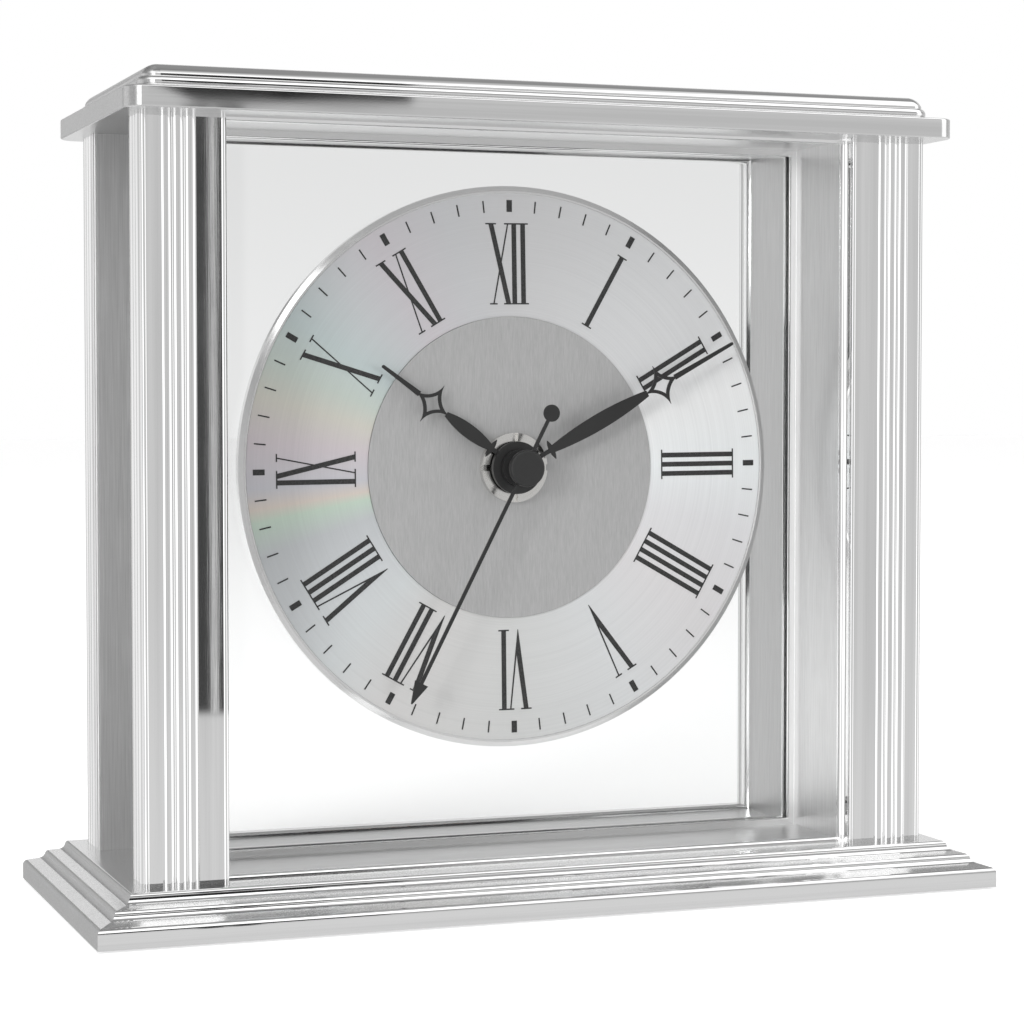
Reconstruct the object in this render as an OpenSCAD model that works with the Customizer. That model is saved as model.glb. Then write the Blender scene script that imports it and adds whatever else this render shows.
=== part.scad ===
// Mantel clock. A pane of glass stands in a case of four ribbed corner columns, between a stepped
// plinth and a cornice, and carries a round dial with a battery movement behind it.
// +Z is up, the dial looks along -Y, and the origin is the middle of the underside. Millimetres.

/* [Case] */
// Width over the side faces of the columns
case_w = 142.3; // [132:0.1:190]
// Depth over the front and rear faces of the columns
case_d = 47.74; // [46:0.01:70]
// Height of the columns
column_h = 126; // [118:1:180]
// Width of one column
column_w = 14.1; // [11.5:0.1:18]
// Depth of one column
column_d = 8.87; // [8.5:0.01:11]
// Pitch of the three ribs on a column face
rib_pitch = 2.03; // [1.5:0.01:2.4]
// How far a rib stands out of its face
rib_rise = 0.45; // [0.2:0.05:0.7]
// Inner flat beside the ribs on the front face
inner_flat = 5.0; // [3:0.1:6]
// Flat beside the ribs on the side face
side_flat = 1.4; // [0.8:0.1:2]
// Radius of the screw channel up a column
channel_r = 1.4; // [1.2:0.1:2]

/* [Plinth] */
// Reach of the plinth past the columns at each side
plinth_reach_w = 9.9; // [8.5:0.1:20]
// Reach of the plinth past the columns at the front and at the back
plinth_reach_d = 10.66; // [8.5:0.01:20]
// Full height of the plinth
plinth_h = 7.6; // [7.6:0.1:12]
// Thickness left over the hollow underside
plinth_roof = 3.2; // [2.5:0.1:4]
// Thickness of the felt sheet
felt_t = 0.9; // [0.6:0.1:1.5]
// How far the felt stands below the plinth
felt_proud = 0.4; // [0.2:0.1:0.8]

/* [Cornice and cap] */
// Reach of the cornice past the columns at each side
cornice_reach_w = 3.5; // [2:0.1:9]
// Reach of the cornice past the columns at the front and at the back
cornice_reach_d = 6.1; // [4:0.1:10]
// Thickness of the cornice
cornice_t = 3.5; // [3:0.1:6]
// Plan radius of the corners of the cornice and the cap
corner_r = 3.5; // [3.5:0.1:6]
// How far the cap stands back from the cornice at each side
cap_step_w = 2.95; // [1:0.05:6]
// How far the cap stands back from the cornice at the front and at the back
cap_step_d = 3.6; // [1:0.05:6]
// Height of the rounded edge of the cap
cap_edge_h = 2.1; // [1.6:0.1:2.6]
// Rise of the cap above its rounded edge
cap_rise = 2.0; // [1.2:0.1:3]

/* [Glass and rails] */
// Thickness of the glass
glass_t = 2; // [1.5:0.1:3]
// Thickness of a rail
rail_t = 1.2; // [1.1:0.1:1.6]
// Depth of the rails from front to back
rail_d = 42.8; // [40:0.1:46]
// How far the flat of a rail stands out of what it lines
rail_proud = 0.2; // [0.1:0.05:0.5]
// Depth of the groove that holds the glass
groove_depth = 0.8; // [0.5:0.1:0.9]
// Play of the glass in its groove
glass_play = 0.1; // [0.05:0.05:0.3]

/* [Dial] */
// Radius of the dial
dial_r = 50; // [40:0.5:52]
// Height of the dial's centre above the middle of the columns
dial_lift = 4.5; // [0:0.1:6]
// Thickness of the dial plate at its rim
dial_t = 2.05; // [1.8:0.05:3]
// Width of the plain rim around the chapter ring
rim_w = 1.25; // [0.8:0.05:2]
// Width of the chapter ring
ring_w = 21.9; // [20:0.1:24]
// Height of a numeral
numeral_h = 14.4; // [10:0.1:16]
// Gap from the chapter ring's edge to the minute marks
mark_gap = 1.25; // [0.8:0.05:2]
// Length of a minute mark
mark_l = 2.1; // [1.5:0.1:3]
// Gap from the minute marks to the numerals
numeral_gap = 2.0; // [1:0.1:3]
// Anticlockwise turn of the print on the dial
print_turn = 0.6; // [-1:0.1:1]

/* [Hands] */
// Clockwise angle of the hour hand from twelve
hour_angle = 305.7; // [0:0.1:359.9]
// Clockwise angle of the minute hand from twelve
minute_angle = 61.5; // [0:0.1:359.9]
// Clockwise angle of the second hand from twelve
second_angle = 207.3; // [0:0.1:359.9]
// Length of the hour hand
hour_reach = 30.8; // [24:0.1:34]
// Gap from the tip of the minute hand to the edge of the dial
minute_gap = 3.1; // [2:0.1:6]
// Gap from the tip of the second hand to the edge of the dial
second_gap = 4.05; // [2:0.1:6]
// Thickness of a hand
hand_t = 0.3; // [0.2:0.05:0.5]

/* [Movement] */
// Width and height of the movement
movement_w = 56; // [54:0.5:60]
// Depth of the movement
movement_d = 15; // [15:0.1:18]
// Wall of the movement's case
movement_wall = 1.2; // [1:0.1:1.5]
// Radius of the threaded bush
bush_r = 4; // [3.6:0.1:5]
// Radius of the hour pipe
hour_pipe_r = 2.5; // [2.3:0.1:2.8]
// Radius of the minute pipe
minute_pipe_r = 1.6; // [1.4:0.1:1.8]
// Radius of the second arbor
arbor_r = 0.5; // [0.4:0.05:0.6]
// Radius of the battery
battery_r = 7.1; // [6.8:0.1:7.2]
// Length of the battery with its button
battery_l = 50.5; // [44:0.5:50.5]

/* [Hidden] */
$fn = 64;

// Radial clearance of a running fit
run = 0.05;
// Clearance between pieces that pass each other
pass = 0.3;
// Clearance of a piece that drops into a seat
snug = 0.1;
// A cut reaches this far past the face that it opens
cut = 0.5;

// Heights of the case
plinth_top = felt_proud + plinth_h;
column_top = plinth_top + column_h;
cornice_top = column_top + cornice_t;
sill_z = plinth_top + rail_proud;
lintel_z = column_top - rail_proud;
dial_z = plinth_top + column_h / 2 + dial_lift;

// Half sizes of the case
plinth_x = case_w / 2 + plinth_reach_w;
plinth_y = case_d / 2 + plinth_reach_d;
cornice_x = case_w / 2 + cornice_reach_w;
cornice_y = case_d / 2 + cornice_reach_d;
window_x = case_w / 2 - column_w;
rail_x = window_x - rail_proud;
screw_x = case_w / 2 - column_w / 2;
screw_y = case_d / 2 - column_d / 2 - 0.2;

// Screws of the case
shank_r = channel_r - run;
shank_free_r = channel_r + 0.2;
head_r = 2.9;
head_h = 1.6;
screw_bite = 9;
base_head_z = felt_t + 0.6;

// Edge of the plinth, as [inset, height, radius] of its noses and its coves
noses = [[1.0, 2.5, 1.0], [4.2, 4.85, 0.75], [7.15, plinth_h - 0.6, 0.6]];
coves = [[2.2, 5.2, 1.25], [5.3, 7.1, 1.2]];
edge_reach = 150;

// Places along the dial's axis, positive towards the viewer
glass_front = glass_t / 2;
front_washer_t = 0.4;
dial_back = glass_front + front_washer_t;
leaf_t = 0.25;
dial_floor = dial_back + dial_t - leaf_t;
ring_top = dial_back + dial_t;
disc_top = ring_top + leaf_t;
nut_t = 1.5;
nut_r = 6.2;
nut_top = disc_top + nut_t;
bush_top = nut_top + 0.3;
hour_boss_back = bush_top + 0.25;
hour_boss_t = 0.95;
minute_boss_back = hour_boss_back + hour_boss_t + 0.4;
minute_boss_t = 1.4;
second_boss_back = minute_boss_back + minute_boss_t + 1.4;
second_boss_t = 0.55;
second_cap_t = 1.4;
second_cap_r = 3.25;
rubber_t = 0.6;
case_front = -(glass_front + rubber_t);
case_floor = case_front - movement_wall;
case_back = case_front - movement_d;

// Radii of the dial
ring_r = dial_r - rim_w;
disc_r = ring_r - ring_w;
mark_r = ring_r - mark_gap;
numeral_r = mark_r - mark_l - numeral_gap;
ink_t = 0.06;

// Strokes of the numerals, and how far each is turned anticlockwise from its hour
thick = 0.87;
thin = 0.24;
stroke_pitch = 1.68;
numerals = ["XII", "I", "II", "III", "IIII", "V", "VI", "VII", "VIII", "IX", "X", "XI"];
numeral_turn = [0.3, 0, 0, 0, 0, 0, 0, 0.3, 1.6, 0, 0, 0.4];

// Gears, as [teeth of the pinion, teeth of the wheel, module]
gear_minute = [10, 30, 0.45];
gear_hour = [8, 32, 0.45];
gear_centre = [10, 80, 0.2];
gear_third = [8, 60, 9 / 34];
gear_second = [10, 60, 0.26];
gear_rotor = [10, 50, 0.25];

// Directions of the arbors, in degrees from +X, seen from the front
third_dir = 60;
intermediate_dir = -20;
rotor_dir = 40;
motion_dir = 180;

// Places of the arbors, from the centre of the dial
third_at = spot([0, 0], third_dir, span(gear_centre));
intermediate_at = spot([0, 0], intermediate_dir, span(gear_second));
rotor_at = spot(intermediate_at, rotor_dir, span(gear_rotor));
motion_at = spot([0, 0], motion_dir, span(gear_minute));
pin_r = 0.35;

// Levels of the train behind the floor of the case, each as [front, back]
hour_level = [case_floor - 0.2, case_floor - 1.0];
motion_level = [case_floor - 1.4, case_floor - 2.2];
centre_level = [case_floor - 2.8, case_floor - 3.4];
third_level = [case_floor - 4.2, case_floor - 4.7];
second_level = [case_floor - 5.4, case_floor - 5.9];
intermediate_level = [case_floor - 6.6, case_floor - 7.1];
stator_level = [case_floor - 7.8, case_floor - 8.4];
plate_level = [case_floor - 9.6, case_floor - 10.4];
board_level = [plate_level[1], plate_level[1] - 0.8];
cover_level = [case_back + 1.3, case_back];

// Rooms of the movement's case
half_w = movement_w / 2;
room_x = half_w - movement_wall;
battery_y = -half_w + movement_wall + battery_r + 0.6;
battery_level = case_floor + 0.4 - battery_r - 0.3;
divider_top = battery_y + battery_r + 0.6 + movement_wall;
train_bottom = divider_top + 0.2;

// Shafts, posts and strips of the movement
motion_pin_r = 0.6;
knob_shaft_r = 1.3;
tail_r = 1.0;
post_r = 1.3;
ledge = 0.6;
room_in = room_x - ledge;
post_spots = [[-23.5, 23.3], [24.3, 24.6], [-22.5, train_bottom + 2.4], [22.5, train_bottom + 2.4]];
contact_t = 0.3;
contact_x = battery_l / 2 + 0.15;
strip_front = battery_level + 3;

// Coil and stator
coil_y = 20;
coil_r = 2.8;
core_half = 1.2;
magnet_r = 2.4;
coil_x = [rotor_at[0] - 4.8, rotor_at[0] + 8.2];
coil_level = stator_level[0] + 0.35;

// Point at a distance and a direction from another
function spot(p, a, d) = [p[0] + d * cos(a), p[1] + d * sin(a)];

// Distance between the arbors of a pinion and its wheel
function span(g) = (g[0] + g[1]) / 2 * g[2];

// Point on the circle [x, y, radius] at an angle
function rim(c, a) = [c[0] + c[2] * cos(a), c[1] + c[2] * sin(a)];

// Points along a circle [x, y, radius] between two angles
function arc(c, from, to, n = 8) = [for (i = [0:n]) rim(c, from + (to - from) * i / n)];

// Side of the plinth, as [inset, height]: round noses with hollow coves between them
function plinth_edge() = concat(
    [[0, 0]],
    arc(noses[0], 180, 100),
    arc(coves[0], -75, -17),
    arc(noses[1], 180, 100),
    arc(coves[1], -75, -8),
    arc(noses[2], 180, 90));

// Side of the cap, with x as the inset from its face: a round nose, a small step and a soft rise
module cap_edge() {
    nose = cap_edge_h / 2;
    step = 0.75;
    swell_w = 2.6;
    swell_h = cap_rise - 0.3;
    swell_r = (swell_w * swell_w + swell_h * swell_h) / (2 * swell_h);
    cap_top = cap_edge_h + cap_rise;
    translate([nose, nose]) circle(nose);
    translate([nose, 0]) square([edge_reach, cap_edge_h]);
    intersection() {
        translate([step + swell_w, cap_top - swell_r]) circle(swell_r);
        translate([step, nose]) square([swell_w + 1, cap_top]);
    }
    translate([step + swell_w, nose]) square([edge_reach, cap_top - nose]);
}

// Side of the cornice, with x as the inset from its face: flat, with small rounds
module cornice_edge() {
    soft = 0.3;
    translate([soft, 0]) square([edge_reach, cornice_t]);
    translate([0, soft]) square([edge_reach, cornice_t - 2 * soft]);
    for (y = [soft, cornice_t - soft]) translate([soft, y]) circle(soft);
}

// Toothed outline with one tooth at the angle given
function gear_points(teeth, m, at) =
    [for (i = [0:teeth - 1])
        for (c = [[-0.26, -1.15], [-0.1, 0.85], [0.1, 0.85], [0.26, -1.15]])
            let (a = at + (i + c[0]) * 360 / teeth, r = (teeth / 2 + c[1]) * m)
                [r * cos(a), r * sin(a)]];

// Puts a child drawn face on into its place on the dial's axis
module face_on() {
    translate([0, 0, dial_z]) rotate([90, 0, 0]) children();
}

// Disc or ring between two places on the dial's axis
module disc(r, back, front, hole = 0) {
    translate([0, 0, min(back, front)]) difference() {
        cylinder(r = r, h = abs(front - back));
        if (hole > 0) {
            translate([0, 0, -cut]) cylinder(r = hole, h = abs(front - back) + 2 * cut);
        }
    }
}

// Flat shape between two places on the dial's axis
module slice(back, front) {
    translate([0, 0, min(back, front)]) linear_extrude(abs(front - back)) children();
}

// Repeats a child at the four columns
module at_columns() {
    for (x = [-screw_x, screw_x], y = [-screw_y, screw_y]) translate([x, y, 0]) children();
}

// Rectangle with round corners
module round_rect(x, y, r) {
    square([2 * x, 2 * (y - r)], center = true);
    square([2 * (x - r), 2 * y], center = true);
    for (sx = [-1, 1], sy = [-1, 1]) translate([sx * (x - r), sy * (y - r)]) circle(r);
}

// Bar along Y with a side drawn by the child on both of its long sides
module edged_bar(half_w, half_l) {
    rotate([90, 0, 0]) linear_extrude(2 * half_l, center = true)
        for (m = [0, 1]) mirror([m, 0]) intersection() {
            translate([-half_w, 0]) children();
            translate([-half_w, 0]) square([half_w + 1, edge_reach]);
        }
}

// Slab with round corners and a side drawn by the child all round
module edged_slab(half_w, half_l) {
    edged_bar(half_w, half_l - corner_r) children();
    rotate([0, 0, 90]) edged_bar(half_l, half_w - corner_r) children();
    for (sx = [0, 1], sy = [0, 1]) mirror([sx, 0, 0]) mirror([0, sy, 0])
        translate([half_w - corner_r, half_l - corner_r, 0]) rotate_extrude(angle = 90) intersection() {
            translate([corner_r, 0]) mirror([1, 0]) children();
            square([corner_r, edge_reach]);
        }
}

// Screw standing on its head: a round head with a cross recess, and a shank
module case_screw(shank_l) {
    difference() {
        cylinder(r = head_r, h = head_h);
        for (a = [0, 90]) rotate(a) translate([-1.6, -0.35, -cut]) cube([3.2, 0.7, cut + 0.8]);
    }
    translate([0, 0, head_h]) cylinder(r = shank_r, h = shank_l);
}

// Bar along Y with the plinth's side on both of its long sides
module plinth_bar(half_w, half_l) {
    edge = plinth_edge();
    rotate([90, 0, 0]) linear_extrude(2 * half_l, center = true)
        polygon(concat([for (p = edge) [p[0] - half_w, p[1]]],
                       [for (i = [len(edge) - 1:-1:0]) [half_w - edge[i][0], edge[i][1]]]));
}

// Hollow stepped plinth with a boss around each screw
module base_plinth() {
    wall_x = plinth_x - noses[2][0] - 3;
    wall_y = plinth_y - noses[2][0] - 3;
    color("gainsboro") translate([0, 0, felt_proud]) difference() {
        intersection() {
            plinth_bar(plinth_x, plinth_y);
            rotate([0, 0, 90]) plinth_bar(plinth_y, plinth_x);
        }
        difference() {
            translate([-wall_x, -wall_y, -cut]) cube([2 * wall_x, 2 * wall_y, plinth_h - plinth_roof + cut]);
            at_columns() cylinder(r = head_r + 2.6, h = plinth_h);
        }
        felt_room(felt_t - felt_proud + cut);
        at_columns() translate([0, 0, -cut]) cylinder(r = head_r + 0.3, h = base_head_z - felt_proud + head_h + cut);
        at_columns() cylinder(r = shank_free_r, h = plinth_h + cut);
        translate([-rail_x - rail_t, -rail_d / 2, plinth_h - rail_t + rail_proud])
            cube([2 * (rail_x + rail_t), rail_d, rail_t + cut]);
    }
}

// Recess for the felt in the underside of the plinth
module felt_room(depth) {
    x = plinth_x - 3;
    y = plinth_y - 3;
    translate([-x, -y, felt_t - felt_proud - depth]) cube([2 * x, 2 * y, depth]);
}

// Felt sheet under the plinth
module base_felt() {
    x = plinth_x - 3.2;
    y = plinth_y - 3.2;
    color("darkgreen") linear_extrude(felt_t) square([2 * x, 2 * y], center = true);
}

// Screws up through the plinth into the columns
module base_screws() {
    color("silver") at_columns() translate([0, 0, base_head_z])
        case_screw(plinth_top - base_head_z - head_h + screw_bite);
}

// Section of a column: x runs outwards from its inner edge, y runs in from its outer face
module column_section() {
    rib_r = (rib_pitch * rib_pitch / 4 + rib_rise * rib_rise) / (2 * rib_rise);
    bead_r = 0.55;
    difference() {
        union() {
            square([column_w, column_d]);
            for (i = [0:2]) {
                translate([inner_flat + (i + 0.5) * rib_pitch, rib_r - rib_rise]) circle(rib_r);
                translate([column_w - rib_r + rib_rise, side_flat + (i + 0.5) * rib_pitch]) circle(rib_r);
            }
            for (p = [[0.45, 0.45], [column_w - 0.45, 0.45], [column_w - 0.45, column_d - 0.45]])
                translate(p) circle(bead_r);
        }
        translate([column_w / 2, column_d / 2 + 0.2]) circle(channel_r);
        translate([-cut, case_d / 2 - rail_d / 2])
            square([cut + rail_t - rail_proud, column_d]);
    }
}

// Column at the front right, and its mirror images
module column(left, rear) {
    color("lightgray") mirror([left, 0, 0]) mirror([0, rear, 0])
        translate([window_x, -case_d / 2, plinth_top]) linear_extrude(column_h) column_section();
}

module column_front_right() {
    column(0, 0);
}

module column_front_left() {
    column(1, 0);
}

module column_rear_right() {
    column(0, 1);
}

module column_rear_left() {
    column(1, 1);
}

// Cornice, drilled for the screws of the columns and of the cap
module cornice() {
    color("gainsboro") translate([0, 0, column_top]) difference() {
        edged_slab(cornice_x, cornice_y) cornice_edge();
        at_columns() translate([0, 0, -cut]) cylinder(r = shank_free_r, h = cornice_t + 2 * cut);
        translate([-rail_x - rail_t, -rail_d / 2, -cut])
            cube([2 * (rail_x + rail_t), rail_d, rail_t - rail_proud + cut]);
        at_cap_screws() translate([0, 0, -cut]) cylinder(r = shank_free_r, h = cornice_t + 2 * cut);
        at_cap_screws() cylinder(r = head_r + 0.3, h = rail_t - rail_proud + 0.9);
    }
}

// Repeats a child at the two screws of the cap
module at_cap_screws() {
    for (x = [-window_x / 2, window_x / 2]) translate([x, 12, 0]) children();
}

// Screws down through the cornice into the columns
module cornice_screws() {
    color("silver") at_columns() translate([0, 0, cornice_top + head_h]) mirror([0, 0, 1])
        case_screw(cornice_t + screw_bite);
}

// Cap over the cornice, bored for the screw heads below it
module top_cap() {
    color("whitesmoke") translate([0, 0, cornice_top]) difference() {
        edged_slab(cornice_x - cap_step_w, cornice_y - cap_step_d) cap_edge();
        at_columns() translate([0, 0, -cut]) cylinder(r = head_r + 0.3, h = head_h + 0.3 + cut);
        at_cap_screws() translate([0, 0, -cut]) cylinder(r = shank_r + run, h = 2.6 + cut);
    }
}

// Screws up through the cornice into the cap, with heads thin enough to clear the top rail
module cap_screws() {
    under = column_top + rail_t - rail_proud;
    color("silver") at_cap_screws() translate([0, 0, under]) {
        cylinder(r = head_r, h = 0.9);
        cylinder(r = shank_r, h = cornice_top - under + 2.4);
    }
}

// Round-topped bead of a rail, w wide and h high
module bead(w, h) {
    r = (w * w / 4 + h * h) / (2 * h);
    intersection() {
        translate([0, h - r]) circle(r);
        translate([-w / 2, -rail_t]) square([w, rail_t + h]);
    }
}

// Section of a rail: x runs back, y stands out of the flat of the rail
module rail_section() {
    groove_w = glass_t + glass_play;
    lip_w = 1.01;
    difference() {
        union() {
            translate([-rail_d / 2, -rail_t]) square([rail_d, rail_t]);
            translate([-rail_d / 2 + 0.775, 0]) bead(1.55, 0.63);
            for (s = [-1, 1]) translate([s * (groove_w + lip_w) / 2, 0]) bead(lip_w, 1.255);
            translate([rail_d / 2 - 1.525, 0]) bead(3.05, 0.83);
        }
        translate([-groove_w / 2, -groove_depth]) square([groove_w, groove_depth + 2]);
    }
}

// Rail along X with mitred ends, its flat at z = 0 and its beads upwards
module rail(half_l) {
    color("silver") intersection() {
        rotate([90, 0, 90]) linear_extrude(2 * (half_l + rail_t), center = true) rail_section();
        rotate([90, 0, 0]) linear_extrude(rail_d + 2, center = true)
            polygon([[-half_l - rail_t, -rail_t], [half_l + rail_t, -rail_t], [half_l - 3, 3], [3 - half_l, 3]]);
    }
}

module rail_bottom() {
    translate([0, 0, sill_z]) rail(rail_x);
}

module rail_top() {
    translate([0, 0, lintel_z]) rotate([0, 180, 0]) rail(rail_x);
}

module rail_right() {
    translate([rail_x, 0, (sill_z + lintel_z) / 2]) rotate([0, -90, 0]) rail((lintel_z - sill_z) / 2);
}

module rail_left() {
    translate([-rail_x, 0, (sill_z + lintel_z) / 2]) rotate([0, 90, 0]) rail((lintel_z - sill_z) / 2);
}

// Pane that stands in the grooves of the rails and carries the dial
module glass_pane() {
    x = rail_x + groove_depth - glass_play;
    low = sill_z - groove_depth;
    high = lintel_z + groove_depth - 2 * glass_play;
    color("lightcyan", 0.3) difference() {
        translate([-x, -glass_t / 2, low]) cube([2 * x, glass_t, high - low]);
        face_on() disc(bush_r + pass, -glass_t, glass_t);
    }
}

// Backing plate of the dial: a bevelled rim around a shallow seat
module dial_plate() {
    color("silver") face_on() rotate_extrude($fn = 128)
        polygon([[bush_r + 0.1, dial_back], [dial_r, dial_back], [dial_r, ring_top - 0.45],
                 [dial_r - 0.9, ring_top], [ring_r, ring_top], [ring_r, dial_floor],
                 [bush_r + 0.1, dial_floor]]);
}

// Spun ring that carries the numerals
module chapter_ring() {
    color("lightgray") face_on() disc(ring_r - run, dial_floor, ring_top, disc_r, $fn = 128);
}

// Brushed disc inside the chapter ring, a leaf higher
module centre_disc() {
    color("darkgray") face_on() disc(disc_r - run, dial_floor, disc_top, bush_r + 0.1, $fn = 128);
}

// Half of the room that a letter takes in a numeral
function half_letter(c) = c == "I" ? stroke_pitch / 2 : c == "X" ? 1.88 : 1.86;

// Width of the letters of a numeral before a place in it
function run_to(text, n) = n == 0 ? 0 : run_to(text, n - 1) + 2 * half_letter(text[n - 1]);

// Serif over or under a stroke
module serif(x, half, top) {
    translate([x - half, top ? numeral_h - thin : 0]) square([2 * half, thin]);
}

// Slanting stroke from the foot to the head of a letter
module stroke(foot, head, w) {
    polygon([[foot - w / 2, 0], [foot + w / 2, 0], [head + w / 2, numeral_h], [head - w / 2, numeral_h]]);
}

module letter_i() {
    stroke(0, 0, thick);
    serif(0, 1, true);
    serif(0, 1, false);
}

module letter_x() {
    stroke(1.6, -1.63, thick + 0.03);
    stroke(-1.25, 1.6, thin);
    serif(-1.63, 1, true);
    serif(1.6, 0.7, true);
    serif(-1.25, 0.7, false);
    serif(1.6, 0.9, false);
}

module letter_v() {
    difference() {
        polygon([[-1.94, numeral_h], [1.62, numeral_h], [0.05, 0], [-0.05, 0]]);
        polygon([[-1.06, numeral_h], [1.38, numeral_h], [0.27, numeral_h * 0.315]]);
    }
    serif(-1.5, 1, true);
    serif(1.5, 0.7, true);
}

// Roman numerals standing with their feet to the centre
module dial_numerals() {
    color("black") face_on() slice(ring_top, ring_top + ink_t)
        for (n = [0:11]) rotate(print_turn + numeral_turn[n] - 30 * n) translate([0, numeral_r - numeral_h]) {
            total = run_to(numerals[n], len(numerals[n]));
            for (i = [0:len(numerals[n]) - 1]) {
                c = numerals[n][i];
                translate([run_to(numerals[n], i) + half_letter(c) - total / 2, 0]) {
                    if (c == "I") letter_i();
                    if (c == "V") letter_v();
                    if (c == "X") letter_x();
                }
            }
        }
}

// Blocks at the hours and fine lines at the minutes between
module minute_marks() {
    color("black") face_on() slice(ring_top, ring_top + ink_t)
        for (n = [0:59]) rotate(print_turn + 6 * n) {
            w = n % 5 == 0 ? 1.0 : 0.25;
            translate([-w / 2, mark_r - mark_l]) square([w, mark_l]);
        }
}

// Soft ring between the dial and the glass
module dial_washer() {
    color("dimgray") face_on() disc(dial_r - 18, glass_front, dial_back, bush_r + 0.6);
}

// Rubber ring between the glass and the movement
module rubber_washer() {
    color("black") face_on() disc(bush_r + 6, case_front, -glass_front, bush_r + 0.2);
}

// Slotted round nut on the bush
module dial_nut() {
    color("silver") face_on() difference() {
        disc(nut_r, disc_top, nut_top, bush_r + run);
        for (a = [0, 90]) rotate(a) translate([-nut_r - cut, -0.55, disc_top + 0.7])
            cube([2 * nut_r + 2 * cut, 1.1, nut_t]);
    }
}

// Lens between two arcs: half length along y and half width along x
module lens(half_l, half_w) {
    r = (half_l * half_l + half_w * half_w) / (2 * half_w);
    intersection() {
        translate([r - half_w, 0]) circle(r, $fn = 180);
        translate([half_w - r, 0]) circle(r, $fn = 180);
    }
}

// Four-pointed outline with hollow sides of radius r, drawn smaller all round by inset:
// a is its half height along y, b its half width along x
module hollow_diamond(a, b, r, inset = 0) {
    side = sqrt(a * a + b * b);
    out = sqrt(r * r - side * side / 4);
    difference() {
        polygon([[0, -a], [b, 0], [0, a], [-b, 0]]);
        for (sx = [-1, 1], sy = [-1, 1])
            translate([sx * (b / 2 + out * a / side), sy * (a / 2 + out * b / side)]) circle(r + inset);
    }
}

// Pierced diamond of a hand
module pierced_diamond(a, b) {
    difference() {
        hollow_diamond(a, b, 4.2);
        hollow_diamond(a, b, 4.2, 0.6);
    }
}

// Blade of the hour or the minute hand, pointing along y: neck, guard, leaf, diamond and point
module blade(guard_at, leaf_w, leaf_l, diamond_at, tip_at, tip_w) {
    leaf_end = diamond_at - 3.5;
    middle = (guard_at + leaf_end) / 2;
    translate([-0.39, 0]) square([0.78, guard_at + 1]);
    translate([0, guard_at]) rotate(90) lens(1.85, 0.47);
    intersection() {
        translate([0, middle]) lens(leaf_l, leaf_w / 2);
        translate([-3, guard_at]) square([6, leaf_end - guard_at + 0.3]);
    }
    translate([0, diamond_at]) pierced_diamond(3.75, 3.85);
    polygon([[-0.48, diamond_at + 2.9], [0.48, diamond_at + 2.9], [tip_w / 2, tip_at - tip_w / 2],
             [-tip_w / 2, tip_at - tip_w / 2]]);
    translate([0, tip_at - tip_w / 2]) circle(tip_w / 2);
}

// Hour hand on its black boss
module hour_hand() {
    color("black") face_on() rotate(-hour_angle) {
        disc(4.65, hour_boss_back, hour_boss_back + hour_boss_t, hour_pipe_r + run);
        translate([0, 0, hour_boss_back + 0.3]) linear_extrude(hand_t) difference() {
            blade(6.0, 2.5, 6.6, 19.5, hour_reach, 0.58);
            circle(hour_pipe_r + 1);
        }
    }
}

// Minute hand on its boss
module minute_hand() {
    color("black") face_on() rotate(-minute_angle) {
        disc(3.3, minute_boss_back, minute_boss_back + minute_boss_t, minute_pipe_r + run);
        translate([0, 0, minute_boss_back + 0.7]) linear_extrude(hand_t) difference() {
            blade(6.7, 2.9, 13.6, dial_r - minute_gap - 16, dial_r - minute_gap, 0.58);
            circle(minute_pipe_r + 1);
        }
    }
}

// Second hand: a thin shaft with an arrow head and a round counterweight
module second_hand() {
    tip = dial_r - second_gap;
    arrow_at = tip - 4;
    color("black") face_on() rotate(-second_angle) {
        disc(2.4, second_boss_back, second_boss_back + second_boss_t, arbor_r + run);
        translate([0, 0, second_boss_back + second_boss_t - hand_t]) linear_extrude(hand_t) difference() {
            union() {
                translate([-0.32, -10]) square([0.64, arrow_at + 10.5]);
                translate([0, -10.9]) circle(1.52);
                polygon([[-1.3, arrow_at], [1.3, arrow_at], [0.1, tip], [-0.1, tip]]);
            }
            circle(arbor_r + 1);
        }
    }
}

// Round button over the second arbor
module second_cap() {
    soft = 0.5;
    color("black") face_on() translate([0, 0, second_boss_back + second_boss_t]) rotate_extrude() {
        square([second_cap_r - soft, second_cap_t]);
        translate([0, soft]) square([second_cap_r, second_cap_t - 2 * soft]);
        for (z = [soft, second_cap_t - soft]) translate([second_cap_r - soft, z]) circle(soft);
    }
}

// Repeats a child at each arbor that has thin pivots
module at_thin_arbors() {
    for (p = [third_at, intermediate_at, rotor_at]) translate(p) children();
}

// Repeats a child at the posts that carry the train plate
module at_posts() {
    for (p = post_spots) translate(p) children();
}

// Flat rectangle from one corner to the opposite one
module area(low, high) {
    translate(low) square(high - low);
}

// Outline of the terminal strips, at the side given
module strip_area(side, spare = 0) {
    x = side > 0 ? contact_x : -contact_x - contact_t;
    area([x - spare, battery_y - 4], [x + contact_t + spare, train_bottom + 5]);
}

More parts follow.
